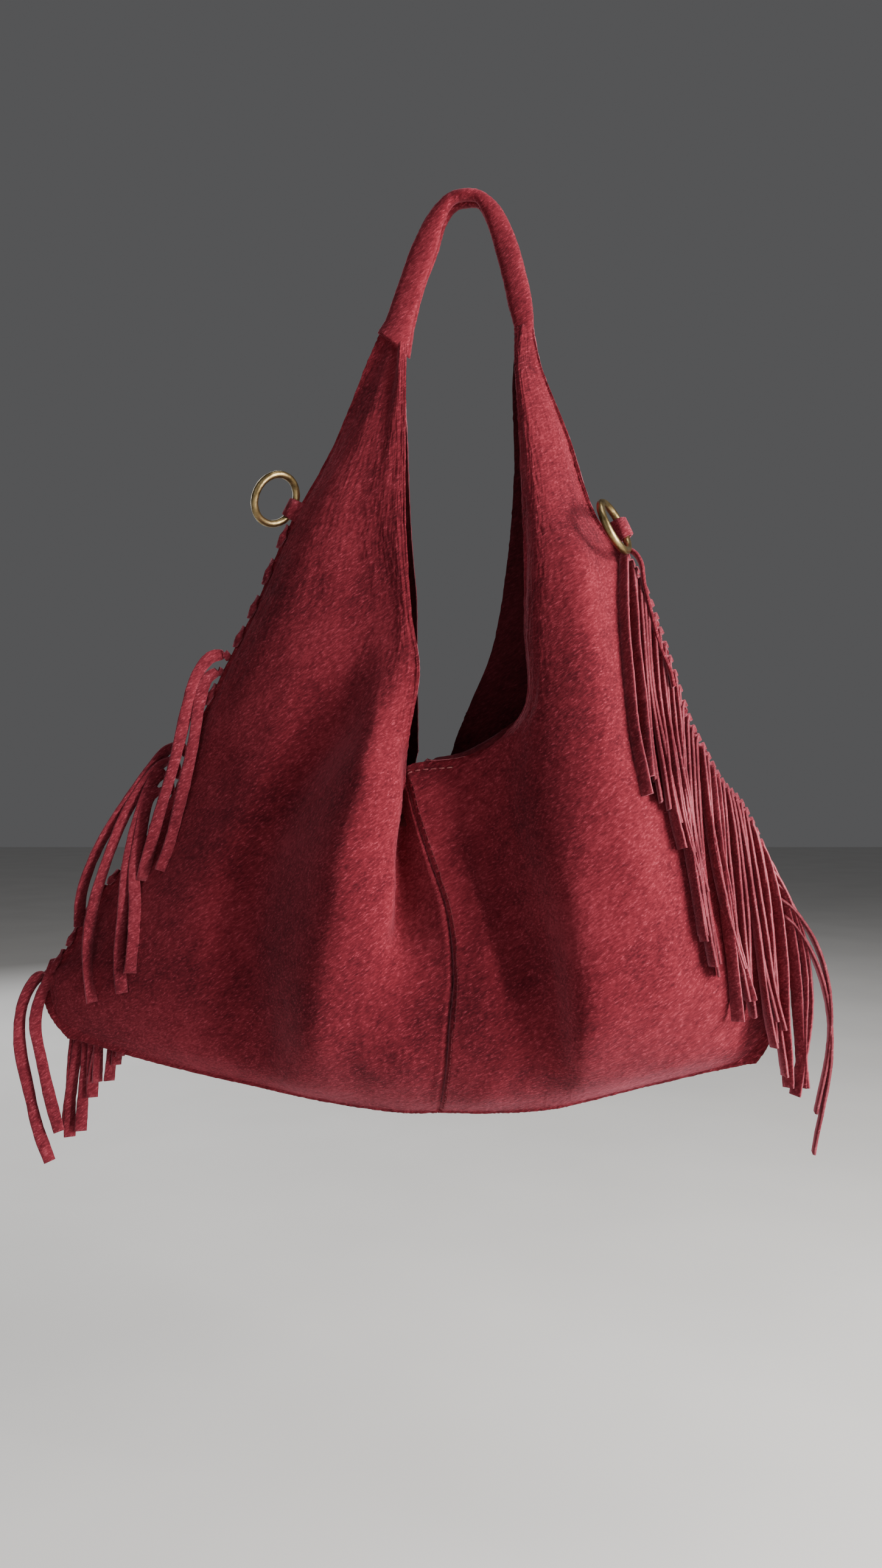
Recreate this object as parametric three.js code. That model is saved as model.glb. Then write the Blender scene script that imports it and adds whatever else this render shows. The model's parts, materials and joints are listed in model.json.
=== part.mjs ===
// Limp suede hobo bag held up by the crown of its handle.
// Millimetres, +Z up, the front faces -Y. The origin is on the underside of the handle's crown.
// The bag is drawn in its own axes (a across, b front to back, z up) and then turned by YAW.
import * as THREE from "three";

const YAW = THREE.MathUtils.degToRad(-12);

// Suede and gaps.
const PANEL_THICKNESS = 2.0;
const SEAM_GAP = 0.4; // half of the clear gap where two panels meet face to face
const SEAM_FLANGE = 0.06; // share of a row that lies flat beside the side seam
const CREST = 0.75; // share of a row at which the panel has reached its full depth
const PANEL_COLUMNS = 9;
const BOTTOM_SAG = 4;

// Rows of one half of the bag, from the bottom seam up to the top of the horn.
// side: [a, z] on the side seam. edge: [a, z] on the centre seam, then on the mouth's edge.
// back: how far the back panel's mouth edge is moved along a. depth: half depth at that edge.
// belly: how far the middle of the row stands out beyond the straight line between its ends.
const LEFT_ROWS = [
  { side: [-200, -395], edge: [-6, -420], back: 0, depth: 0, belly: 0 },
  { side: [-210, -385], edge: [-5, -413], back: 0, depth: 14, belly: 5 },
  { side: [-213, -366], edge: [-3, -395], back: 0, depth: 26, belly: 8 },
  { side: [-197, -338], edge: [1, -352], back: 0, depth: 34, belly: 10 },
  { side: [-164, -302], edge: [-8, -304], back: 0, depth: 30, belly: 10 },
  { side: [-139, -256], edge: [-23, -261], back: 0, depth: 17, belly: 9 },
  { side: [-117, -212], edge: [-20, -214], back: -4, depth: 15, belly: 8 },
  { side: [-97, -170], edge: [-24, -170], back: -4, depth: 14, belly: 7 },
  { side: [-76, -135], edge: [-26, -132], back: -3, depth: 12, belly: 5 },
  { side: [-58, -98], edge: [-25, -98], back: -2, depth: 9, belly: 3 },
  { side: [-43, -64], edge: [-25, -64], back: 0, depth: 2, belly: 0 },
];
const RIGHT_ROWS = [
  { side: [130, -392], edge: [-6, -420], back: 0, depth: 0, belly: 0 },
  { side: [139, -379], edge: [-5, -413], back: 0, depth: 14, belly: 5 },
  { side: [144, -362], edge: [-3, -395], back: 0, depth: 26, belly: 8 },
  { side: [143, -334], edge: [1, -352], back: 0, depth: 34, belly: 12 },
  { side: [131, -296], edge: [-8, -304], back: 0, depth: 30, belly: 14 },
  { side: [117, -270], edge: [-23, -261], back: 0, depth: 17, belly: 14 },
  { side: [110, -256], edge: [2, -255], back: -4, depth: 15, belly: 14 },
  { side: [103, -243], edge: [24, -241], back: -16, depth: 15, belly: 13 },
  { side: [97, -228], edge: [30, -226], back: -24, depth: 15, belly: 12 },
  { side: [87, -202], edge: [28, -202], back: -18, depth: 15, belly: 10 },
  { side: [72, -168], edge: [28, -168], back: -12, depth: 14, belly: 8 },
  { side: [56, -133], edge: [28, -133], back: -8, depth: 12, belly: 5 },
  { side: [43, -98], edge: [26, -98], back: -5, depth: 9, belly: 3 },
  { side: [33, -64], edge: [23, -64], back: 0, depth: 2, belly: 0 },
];

// Handle: [a, z, width in the picture plane, width front to back] along its centre line.
const HANDLE_STATIONS = [
  [-33, -53, 13, 4.6],
  [-25.5, -35, 12.5, 5],
  [-19, -18.5, 12, 6],
  [-13.5, -6.5, 9, 9],
  [-6.5, 1.2, 5.6, 12],
  [0, 2.5, 5, 13],
  [6.5, 1.2, 5.6, 12],
  [12.5, -5.5, 8, 9],
  [18, -18.5, 10, 6],
  [23, -35, 11, 5],
  [27.5, -53, 10, 4.6],
];
const HANDLE_SIDES = 10;
const HANDLE_STEPS = 28;

// Rings and the tabs that hold them.
const RING_RADIUS = 11.75;
const WIRE_RADIUS = 1.75;
const TAB_WIDTH = 10;
const TAB_BORE = 3.4;
const TAB_THICKNESS = 1.4;
const TAB_REACH = 5.6; // from the seam's edge to the middle of the tab's bore
const LEFT_RING_TURN = THREE.MathUtils.degToRad(62);
const RIGHT_RING_TURN = THREE.MathUtils.degToRad(105);
const LEFT_RING_ALONG = 7.85; // place on the seam, counted in rows of the panel
const RIGHT_RING_ALONG = 10.34;
const SEAM_CHORD = 0.4; // half of the stretch of seam, in rows, that gives a tab its direction
const RING_SEGMENTS = 24;
const WIRE_SIDES = 8;
const SLEEVE_SEGMENTS = 16;

// Fringe: each thong is doubled, so it has two tails.
const THONGS_PER_SIDE = 17;
const THONG_THICKNESS = 1.4;
const THONG_WIDTH = 5.5;
const THONG_CLEARANCE = 0.8; // between a thong's head and the panel's face
const TAIL_LENGTH = 103;
const TOP_LEAN = 0.34; // how far a tail stands out for each millimetre that it hangs down,
const BOTTOM_LEAN = 0.14; // to clear the belly of the bag
const SPLAY = 0.24; // the same sideways, for the lowest thong, which hangs past the corner
const LEFT_FRINGE = [-86, -211]; // a of the first and the last tail on the side seam
const RIGHT_FRINGE = [73, 143.5];
const LEFT_FRONT_THONGS = [5, 8, 9, 17]; // the others hang behind the bag
const HEAD_POINTS = 5;

// Snap closure on a patch inside each lip of the mouth.
const PATCH_SIZE = [24, 22, 1.4];
const PATCH_A = -18;
const PATCH_Z = -277;
const FRONT_PATCH_DEPTH = 12.5;
const BACK_PATCH_DEPTH = 17;
const PATCH_TILT = THREE.MathUtils.degToRad(18);
const SNAP_RADIUS = 7;
const SNAP_HEIGHT = 2.4;
const STUD_RADIUS = 2.6;
const SOCKET_BORE = 3.0;
const WASHER_RADIUS = 6;
const WASHER_HEIGHT = 0.8;
const SOCKET_FLOOR = 0.8;
const SNAP_SEGMENTS = 20;
const TOUCHING = 0.3; // clear gap between pieces that rest on each other

// Shades of the suede, from its lit nap to the side that hangs in shadow.
const LIT_NAP = 0x9a3341;
const NAP = 0x8c2a37;
const SHADED_NAP = 0x7a2430;
const FLESH_SIDE = 0x6e1f2a;
const FRONT_THONG = 0xb24c5a;
const BACK_THONG = 0x8a2a36;

const bag = new THREE.Group();
bag.rotation.z = YAW;

const suede = (shade) => new THREE.MeshStandardMaterial({ color: shade, roughness: 0.95 });
const brass = () => new THREE.MeshStandardMaterial({ color: 0x8f7a4c, roughness: 0.35, metalness: 1 });

function addMesh(name, geometry, material) {
  const mesh = new THREE.Mesh(geometry, material);
  mesh.name = name;
  bag.add(mesh);
  return mesh;
}

function closedGeometry(points, triangles) {
  const geometry = new THREE.BufferGeometry();
  geometry.setAttribute("position", new THREE.Float32BufferAttribute(points.flat(), 3));
  geometry.setIndex(triangles.flat());
  geometry.computeVertexNormals();
  return geometry;
}

// A tube through closed rings of points, with a flat cap at each end.
function loft(rings) {
  const count = rings[0].length;
  const points = rings.flat();
  const triangles = [];
  for (let i = 0; i + 1 < rings.length; i += 1) {
    for (let j = 0; j < count; j += 1) {
      const k = (j + 1) % count;
      const [p, q] = [i * count + j, i * count + k];
      triangles.push([p, q, q + count], [p, q + count, p + count]);
    }
  }
  const last = (rings.length - 1) * count;
  for (let j = 1; j + 1 < count; j += 1) {
    triangles.push([0, j + 1, j], [last, last + j, last + j + 1]);
  }
  return closedGeometry(points, triangles);
}

const mix = (from, to, share) => from + (to - from) * share;

// A point of the side seam at a place counted in rows, straight between neighbouring rows.
function seamPoint(rows, along) {
  const low = Math.min(Math.floor(along), rows.length - 2);
  const [from, to] = [rows[low].side, rows[low + 1].side];
  return [0, 1].map((i) => mix(from[i], to[i], along - low));
}

// A panel is a thin shell: face points on the outside, the same points one thickness further in.
function panelPoint(row, rowIndex, column, front, outward, outside) {
  const u = column / PANEL_COLUMNS;
  const rise = THREE.MathUtils.smoothstep(u, SEAM_FLANGE, CREST);
  const shift = front ? outward * SEAM_GAP : outward * SEAM_GAP + row.back;
  const a = mix(row.side[0], row.edge[0] + shift, u);
  const sag = rowIndex === 0 ? BOTTOM_SAG * Math.sin(Math.PI * u) : 0;
  const z = mix(row.side[1], row.edge[1], u) - sag;
  const depth = SEAM_GAP + row.depth * rise + row.belly * Math.sin(Math.PI * rise);
  const b = depth + (outside ? PANEL_THICKNESS : 0);
  return [a, front ? -b : b, z];
}

function panel(rows, front, outward) {
  const faces = [true, false].map((outside) =>
    rows.flatMap((row, i) =>
      Array.from({ length: PANEL_COLUMNS + 1 }, (_, j) => panelPoint(row, i, j, front, outward, outside)),
    ),
  );
  const across = PANEL_COLUMNS + 1;
  const offset = faces[0].length;
  const triangles = [];
  const quad = (p, q, r, s) => triangles.push([p, q, r], [p, r, s]);
  for (let i = 0; i + 1 < rows.length; i += 1) {
    for (let j = 0; j < PANEL_COLUMNS; j += 1) {
      const p = i * across + j;
      quad(p, p + 1, p + 1 + across, p + across);
      quad(offset + p, offset + p + across, offset + p + 1 + across, offset + p + 1);
    }
    const [side, edge] = [i * across, i * across + PANEL_COLUMNS];
    quad(side, side + across, offset + side + across, offset + side);
    quad(edge, offset + edge, offset + edge + across, edge + across);
  }
  const top = (rows.length - 1) * across;
  for (let j = 0; j < PANEL_COLUMNS; j += 1) {
    quad(j, offset + j, offset + j + 1, j + 1);
    quad(top + j, top + j + 1, offset + top + j + 1, offset + top + j);
  }
  const mirrored = front === outward > 0;
  return closedGeometry(faces.flat(), mirrored ? triangles.map(([p, q, r]) => [p, r, q]) : triangles);
}

// The handle's section turns from flat against the front at its legs to flat on a hand at its crown.
function handle() {
  const centre = new THREE.CatmullRomCurve3(HANDLE_STATIONS.map(([a, z]) => new THREE.Vector3(a, 0, z)));
  const widths = new THREE.CatmullRomCurve3(HANDLE_STATIONS.map(([, , w, d]) => new THREE.Vector3(w, d, 0)));
  const rings = [];
  for (let i = 0; i <= HANDLE_STEPS; i += 1) {
    const t = i / HANDLE_STEPS;
    const middle = centre.getPoint(t);
    const along = centre.getTangent(t);
    const across = new THREE.Vector3(along.z, 0, -along.x);
    const size = widths.getPoint(t);
    rings.push(
      Array.from({ length: HANDLE_SIDES }, (_, j) => {
        const angle = (2 * Math.PI * j) / HANDLE_SIDES;
        const point = middle.clone().addScaledVector(across, (Math.cos(angle) * size.x) / 2);
        point.y += (Math.sin(angle) * size.y) / 2;
        return point.toArray();
      }),
    );
  }
  return loft(rings);
}

// The seam's own axes at one place: the point, the way along it and the way out from the bag.
function seamFrame(rows, along, outward) {
  const [above, below] = [seamPoint(rows, along + SEAM_CHORD), seamPoint(rows, along - SEAM_CHORD)];
  const [a, z] = seamPoint(rows, along);
  const down = new THREE.Vector3(below[0] - above[0], 0, below[1] - above[1]).normalize();
  const out = new THREE.Vector3(-down.z * outward, 0, down.x * outward);
  return { point: new THREE.Vector3(a, 0, z), down, out };
}

function placeOnAxes(mesh, origin, x, y, z) {
  mesh.applyMatrix4(new THREE.Matrix4().makeBasis(x, y, z).setPosition(origin));
}

// A tab is a sleeve round the ring's wire with a flat tongue that reaches back to the seam.
function ringAndTab(side, rows, along, outward, turn) {
  const { point, down, out } = seamFrame(rows, along, outward);
  const pivot = point.clone().addScaledVector(out, TAB_REACH);
  const front = new THREE.Vector3(0, -1, 0);
  const toCentre = out.clone().multiplyScalar(Math.cos(turn)).addScaledVector(front, Math.sin(turn));
  const wire = new THREE.TorusGeometry(RING_RADIUS, WIRE_RADIUS, WIRE_SIDES, RING_SEGMENTS);
  const ring = addMesh(`${side}_ring`, wire, brass());
  const normal = new THREE.Vector3().crossVectors(down, toCentre);
  placeOnAxes(ring, pivot.clone().addScaledVector(toCentre, RING_RADIUS), down, toCentre, normal);

  const outer = TAB_BORE + TAB_THICKNESS;
  const corner = Math.asin(TAB_THICKNESS / outer);
  const outline = new THREE.Shape();
  outline.absarc(0, 0, outer, Math.PI + corner, 3 * Math.PI - corner, false);
  outline.lineTo(-TAB_REACH + TOUCHING, TAB_THICKNESS);
  outline.lineTo(-TAB_REACH + TOUCHING, -TAB_THICKNESS);
  outline.closePath();
  outline.holes.push(new THREE.Path().absarc(0, 0, TAB_BORE, 0, 2 * Math.PI, true));
  const extent = { depth: TAB_WIDTH, bevelEnabled: false, curveSegments: SLEEVE_SEGMENTS };
  const sleeve = new THREE.ExtrudeGeometry(outline, extent);
  sleeve.translate(0, 0, -TAB_WIDTH / 2);
  const tab = addMesh(`${side}_ring_tab`, sleeve, suede(NAP));
  placeOnAxes(tab, pivot, out, new THREE.Vector3().crossVectors(down, out), down);
}

// Height of the side seam at a distance from the bag's middle, searched from the horn down.
function seamHeight(rows, a) {
  const sides = rows.map((row) => row.side).reverse();
  const i = sides.findIndex((side) => Math.abs(side[0]) >= Math.abs(a));
  const [above, below] = [sides[i - 1], sides[i]];
  return mix(above[1], below[1], (a - above[0]) / (below[0] - above[0]));
}

// A doubled thong: an upside-down U in the a-z plane, leaning away from the panel as it goes down.
function thong(name, rows, start, spread, { lean, splay }, outward, front) {
  const legs = [start, start + spread].map((a) => ({ x: a, z: seamHeight(rows, a) }));
  const [inner, outer] = outward > 0 ? legs : [legs[1], legs[0]];
  const half = (outer.x - inner.x) / 2;
  const middle = (outer.x + inner.x) / 2;
  const crown = Math.max(inner.z, outer.z) + half;
  const tip = Math.min(inner.z, outer.z) - TAIL_LENGTH;
  const outline = new THREE.Shape();
  outline.moveTo(middle - half - THONG_THICKNESS / 2, tip);
  outline.absarc(middle, crown - half, half + THONG_THICKNESS / 2, Math.PI, 0, true);
  outline.lineTo(middle + half + THONG_THICKNESS / 2, tip);
  outline.lineTo(middle + half - THONG_THICKNESS / 2, tip);
  outline.absarc(middle, crown - half, half - THONG_THICKNESS / 2, 0, Math.PI, false);
  outline.lineTo(middle - half + THONG_THICKNESS / 2, tip);
  outline.closePath();
  const strip = { depth: THONG_WIDTH, bevelEnabled: false, curveSegments: HEAD_POINTS };
  const geometry = new THREE.ExtrudeGeometry(outline, strip);
  const near = SEAM_GAP + PANEL_THICKNESS + THONG_CLEARANCE;
  const position = geometry.getAttribute("position");
  for (let i = 0; i < position.count; i += 1) {
    const [a, z, w] = [position.getX(i), position.getY(i), position.getZ(i)];
    const b = near + w + lean * (crown - z);
    position.setXYZ(i, a + outward * splay * (crown - z), front ? -b : b, z);
  }
  if (!front) {
    flipFaces(geometry);
  }
  addMesh(name, geometry, suede(front ? FRONT_THONG : BACK_THONG));
}

function flipFaces(geometry) {
  const position = geometry.getAttribute("position");
  for (let i = 0; i < position.count; i += 3) {
    const [p, q] = [i + 1, i + 2].map((k) => new THREE.Vector3().fromBufferAttribute(position, k));
    position.setXYZ(i + 1, q.x, q.y, q.z);
    position.setXYZ(i + 2, p.x, p.y, p.z);
  }
}

function fringe(side, rows, [top, bottom], outward, frontThongs) {
  const step = (bottom - top) / THONGS_PER_SIDE;
  for (let i = 1; i <= THONGS_PER_SIDE; i += 1) {
    const name = `${side}_thong_${String(i).padStart(2, "0")}`;
    const share = (i - 1) / (THONGS_PER_SIDE - 1);
    const hang = { lean: mix(TOP_LEAN, BOTTOM_LEAN, share), splay: share === 1 ? SPLAY : 0 };
    thong(name, rows, top + (i - 1) * step, step / 2, hang, outward, frontThongs.includes(i));
  }
}

// One half of the snap: a patch inside the lip, a washer behind it and the half itself on its face.
function snapHalf(side, front, geometry) {
  const group = new THREE.Group();
  group.position.set(PATCH_A, front ? -FRONT_PATCH_DEPTH : BACK_PATCH_DEPTH, PATCH_Z);
  group.rotation.x = front ? -PATCH_TILT : PATCH_TILT;
  const inward = front ? 1 : -1;
  const [width, height, thickness] = PATCH_SIZE;
  const patch = new THREE.Mesh(new THREE.BoxGeometry(width, thickness, height), suede(FLESH_SIDE));
  patch.name = `${side}_closure_patch`;
  const washerShape = new THREE.CylinderGeometry(WASHER_RADIUS, WASHER_RADIUS, WASHER_HEIGHT, SNAP_SEGMENTS);
  const washer = new THREE.Mesh(washerShape, brass());
  washer.name = `${side}_snap_washer`;
  washer.position.y = -inward * (thickness / 2 + TOUCHING + WASHER_HEIGHT / 2);
  const half = new THREE.Mesh(geometry, brass());
  half.name = front ? "snap_stud" : "snap_socket";
  half.position.y = inward * (thickness / 2 + TOUCHING);
  half.rotation.x = front ? 0 : Math.PI;
  group.add(patch, washer, half);
  bag.add(group);
}

function studGeometry() {
  const profile = [[0, 0], [SNAP_RADIUS, 0], [SNAP_RADIUS, SNAP_HEIGHT], [STUD_RADIUS, SNAP_HEIGHT],
    [STUD_RADIUS, 2 * SNAP_HEIGHT], [0, 2 * SNAP_HEIGHT]];
  return new THREE.LatheGeometry(profile.map(([x, y]) => new THREE.Vector2(x, y)), SNAP_SEGMENTS);
}

function socketGeometry() {
  const profile = [[0, 0], [SNAP_RADIUS, 0], [SNAP_RADIUS, SNAP_HEIGHT], [SOCKET_BORE, SNAP_HEIGHT],
    [SOCKET_BORE, SOCKET_FLOOR], [0, SOCKET_FLOOR]];
  return new THREE.LatheGeometry(profile.map(([x, y]) => new THREE.Vector2(x, y)), SNAP_SEGMENTS);
}

addMesh("front_left_panel", panel(LEFT_ROWS, true, -1), suede(NAP));
addMesh("front_right_panel", panel(RIGHT_ROWS, true, 1), suede(LIT_NAP));
addMesh("back_left_panel", panel(LEFT_ROWS, false, -1), suede(SHADED_NAP));
addMesh("back_right_panel", panel(RIGHT_ROWS, false, 1), suede(SHADED_NAP));
addMesh("handle_strap", handle(), suede(NAP));
ringAndTab("left", LEFT_ROWS, LEFT_RING_ALONG, -1, LEFT_RING_TURN);
ringAndTab("right", RIGHT_ROWS, RIGHT_RING_ALONG, 1, RIGHT_RING_TURN);
snapHalf("front", true, studGeometry());
snapHalf("back", false, socketGeometry());
fringe("left", LEFT_ROWS, LEFT_FRINGE, -1, LEFT_FRONT_THONGS);
fringe("right", RIGHT_ROWS, RIGHT_FRINGE, 1, Array.from({ length: THONGS_PER_SIDE }, (_, i) => i + 1));

const group = new THREE.Group();
group.add(bag);

export default group;
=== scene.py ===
"""Hobo bag in napped burgundy suede: the looks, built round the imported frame.

All lengths in the tables are millimetres in the bag's own axes: a across, b front to back, z up.
MM turns them into metres and YAW turns the bag's axes into the frame's.
"""

import json
import math
import random

import bmesh
import bpy
import numpy as np
from mathutils import Matrix, Vector, noise
from mathutils.bvhtree import BVHTree


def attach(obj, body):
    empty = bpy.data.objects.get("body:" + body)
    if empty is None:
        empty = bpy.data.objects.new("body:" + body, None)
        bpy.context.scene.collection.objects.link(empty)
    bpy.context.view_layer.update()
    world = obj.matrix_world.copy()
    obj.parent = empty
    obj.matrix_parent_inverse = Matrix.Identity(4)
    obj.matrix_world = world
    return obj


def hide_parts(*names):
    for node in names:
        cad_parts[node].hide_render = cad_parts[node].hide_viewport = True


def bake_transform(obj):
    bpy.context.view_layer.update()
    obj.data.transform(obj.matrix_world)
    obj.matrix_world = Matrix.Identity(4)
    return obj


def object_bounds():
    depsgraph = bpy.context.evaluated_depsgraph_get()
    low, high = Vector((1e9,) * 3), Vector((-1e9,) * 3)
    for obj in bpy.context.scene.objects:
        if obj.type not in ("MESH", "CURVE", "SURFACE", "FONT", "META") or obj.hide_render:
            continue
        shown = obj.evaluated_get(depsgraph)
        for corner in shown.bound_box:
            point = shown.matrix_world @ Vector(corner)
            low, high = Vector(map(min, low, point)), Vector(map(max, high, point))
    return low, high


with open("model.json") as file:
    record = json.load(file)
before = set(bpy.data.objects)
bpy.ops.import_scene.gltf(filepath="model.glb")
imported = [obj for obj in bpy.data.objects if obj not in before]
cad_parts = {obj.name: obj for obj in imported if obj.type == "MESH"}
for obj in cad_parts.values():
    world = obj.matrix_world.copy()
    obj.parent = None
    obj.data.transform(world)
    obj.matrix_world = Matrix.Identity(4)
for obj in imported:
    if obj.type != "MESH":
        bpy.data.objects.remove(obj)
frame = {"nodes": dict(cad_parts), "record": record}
cad_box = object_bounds()

MM = 0.001
YAW = math.radians(-12)
TURN = Matrix.Rotation(YAW, 4, "Z")

# Camera: a phone's main camera at arm's length, level with the middle of the bag.
CAMERA_LENS_MM = 27.05
CAMERA_PLACE = (-0.0114, -0.545, -0.2685)
FLOOR_DROP = 0.16
FLOOR_SIZE = 12

# Suede.
THICKNESS = 1.4
SAMPLES_ACROSS = 22  # mesh columns between two control columns of a panel
SAMPLES_ALONG = 16  # mesh rows between two control rows
UNDULATION = 0.9  # height of the panels' soft hollows and rises
LIP_LOW_Z = -262.5  # lowest point of the mouth
SEAM_GAP = 0.25  # from the middle of a side seam to the leather's inner face

# Control points of the front panels, one row per line: from the side seam to the centre seam and,
# above the lip, to the edge of the mouth. The first row is the bottom seam, the last is under the handle.
FRONT_LEFT = [
    [(-201, 0, -395), (-194, 0, -396), (-163, 0, -403), (-131, 0, -409), (-100, 0, -414),
     (-75, 0, -418), (-48, 0, -421), (-27.5, 0, -422), (-13, 0, -421)],
    [(-210, 0, -385), (-203, -2, -386), (-161, -9.5, -390), (-127, -12, -397), (-95, -12, -403),
     (-69, -22, -405), (-43, -20, -408), (-23, -18, -410), (-8, -17, -410)],
    [(-214, 0, -376), (-206, -3, -376), (-161, -14.5, -377), (-126, -18, -382), (-90, -18.5, -387),
     (-64, -37, -386), (-42, -33, -392), (-21.5, -30, -394), (-3.5, -29, -393)],
    [(-215, 0, -364), (-204, -4, -363), (-160, -17.5, -361), (-123, -22.5, -363), (-95, -19.5, -368),
     (-60, -44, -365), (-40, -40, -370), (-22, -35, -373), (-1, -34, -372)],
    [(-205, 0, -355), (-195, -4, -354), (-156, -17.5, -346), (-120, -23, -344), (-99, -17.5, -346),
     (-55, -47, -342), (-36, -43, -346), (-20.5, -34, -349), (0.5, -33, -351)],
    [(-186, 0, -326), (-176, -4, -326), (-147, -14.5, -322), (-119, -20, -320), (-98, -13.5, -321),
     (-49, -48, -320), (-26.5, -38, -325), (-27, -22, -329), (-4, -27, -323)],
    [(-164, 0, -302), (-155, -3.5, -302), (-133, -12, -299), (-111, -17.5, -297), (-92, -13, -299),
     (-46, -46, -298), (-26, -34, -298), (-28.5, -17, -300), (-13, -23, -300)],
    [(-146, 0, -275), (-139, -3, -275), (-120, -11, -273), (-97, -16, -272), (-78, -13, -272),
     (-39, -42, -273), (-23.5, -32, -274), (-26, -16, -275), (-22, -19, -274)],
    [(-140, 0, -262), (-133, -3, -262), (-116, -10, -260), (-93, -16, -258), (-69, -13, -258),
     (-38, -39, -260), (-24.5, -30, -262), (-24.5, -20, -261), (-24.5, -15, -261)],
    [(-135, 0, -247), (-128, -4, -247), (-112, -11.5, -245), (-90, -16, -244), (-59, -16, -243),
     (-36, -31, -244), (-26, -27, -245), (-23, -24, -245), (-21, -22, -245)],
    [(-118, 0, -213), (-112, -5, -214), (-99, -12, -214), (-78, -16, -214), (-51, -17, -213),
     (-32, -22, -216), (-22.5, -22, -217), (-19, -21, -217), (-17, -21, -218)],
    [(-103, 0, -185), (-98, -5, -185), (-87, -11, -186), (-68, -14, -188), (-44, -15, -188),
     (-29, -17, -190), (-25, -17.5, -191), (-23, -17.5, -191), (-21.5, -17, -191)],
    [(-86, 0, -147), (-81, -4.5, -148), (-73, -9, -148), (-61, -11.5, -150), (-44, -12.5, -151),
     (-35, -13.5, -152), (-29, -14, -152), (-26.5, -14, -151), (-25, -13.5, -151)],
    [(-64, 0, -110), (-61, -3.5, -110), (-55, -7, -111), (-47, -9, -111), (-38, -10, -112),
     (-32, -11, -111), (-28.5, -11, -111), (-27, -11, -111), (-26, -10.5, -111)],
    [(-47, 0, -71), (-45, -1.5, -72), (-41, -2.5, -72), (-36, -4.5, -73), (-32, -5, -74),
     (-30, -7.5, -74), (-28.5, -7.5, -74), (-27.5, -7, -73), (-26.5, -6.5, -73)],
    [(-40, 0, -56), (-38, -1, -57), (-36, -1.5, -57), (-34, -2.5, -59), (-32, -3, -60),
     (-30, -4, -61), (-29, -4, -62), (-28, -3.5, -62), (-27, -3, -62)],
]
FRONT_RIGHT = [
    [(130, 0, -391), (125, 0, -392), (106, 0, -397), (82, 0, -404), (56, 0, -412),
     (42, 0, -416), (30, 0, -418), (10, 0, -420), (-13, 0, -421)],
    [(134, 0, -385), (128, -2, -385), (106, -14, -388), (83, -20, -393), (58, -24, -398),
     (45, -20, -402), (32, -18, -405), (13.5, -19, -408), (-8, -17, -410)],
    [(138, 0, -376), (132, -3, -376), (108, -22, -375), (86, -32, -377), (57, -38, -383),
     (46, -30, -387), (36, -28, -389), (18, -30, -391), (-3.5, -29, -393)],
    [(143, 0, -362), (136, -4, -362), (111, -26, -359), (88, -39, -360), (59, -46, -365),
     (46, -34, -369), (38, -31, -371), (20, -35, -371), (-1, -34, -372)],
    [(145, 0, -349), (138, -4, -348), (109, -27, -343), (86, -42, -342), (57, -48, -344),
     (42, -32, -347), (31, -26, -349), (16, -34, -350), (0.5, -33, -351)],
    [(142, 0, -328), (136, -4, -327), (106, -26, -323), (82, -42, -321), (54, -46, -321),
     (36, -28, -323), (21.5, -19, -324), (9, -26, -323), (-4, -27, -323)],
    [(135, 0, -305), (129, -4, -304), (101, -25, -301), (77, -41, -298), (46, -42, -298),
     (27.5, -24, -299), (11, -15, -300), (-1.5, -21, -299), (-13, -23, -300)],
    [(123, 0, -278), (118, -4, -278), (93, -24, -276), (72, -39, -274), (41, -38, -274),
     (22, -22, -274), (4.5, -15, -274), (-10.5, -17, -274), (-22, -19, -274)],
    [(115, 0, -269), (110, -4, -268), (88, -23, -266), (70, -38, -264), (39, -36, -262),
     (20.5, -20, -261), (4, -14, -261), (-11.5, -14, -261), (-24.5, -15, -261)],
    [(110, 0, -260), (105, -4, -259), (84, -22, -257), (67, -37, -255), (39, -35, -253),
     (24.5, -22, -252), (12.5, -15, -253), (5.5, -14, -254), (2, -14, -256)],
    [(106, 0, -252), (101, -4, -252), (81, -22, -249), (65, -36, -246), (39, -34, -242),
     (32, -28, -242), (27.5, -22, -242), (25, -18, -242), (23.5, -16, -243)],
    [(101, 0, -242), (96, -3.5, -242), (79, -21, -239), (63, -35, -234), (40, -33, -230),
     (36, -29, -230), (33, -25, -230), (32, -22, -231), (31, -20, -231)],
    [(91, 0, -211), (87, -3, -210), (72, -19, -208), (60, -31, -205), (40, -30, -201),
     (35, -27, -200), (32, -24, -200), (31, -22, -201), (30, -20, -201)],
    [(78, 0, -175), (75, -3, -175), (65, -15, -173), (56, -25, -170), (40, -26, -166),
     (35, -24, -165), (32, -21, -164), (31, -19, -164), (29.5, -18, -163)],
    [(60, 0, -147), (57, -2.5, -146), (52, -11, -146), (45, -18, -145), (37, -20, -143),
     (33, -19, -143), (30, -17, -142), (29, -15.5, -141), (28, -14.5, -141)],
    [(48, 0, -111), (46, -2, -111), (43, -7, -111), (38, -11, -111), (32, -13, -110),
     (29.5, -12.5, -109), (28, -11.5, -109), (27, -10.5, -108), (26, -10, -108)],
    [(35, 0, -77), (34, -1.5, -77), (31, -4, -78), (29, -6, -78), (26.5, -7, -78),
     (25.5, -7, -78), (24.5, -6.5, -77), (24, -6, -77), (23.5, -5.5, -77)],
    [(31.2, 0, -58), (30.5, -1.2, -58), (29.4, -2.4, -58.5), (28, -3, -59), (26.6, -3.3, -59.5),
     (25.6, -3.3, -60), (24.6, -3.1, -60), (23.8, -2.6, -60), (23, -2, -60)],
]

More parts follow.
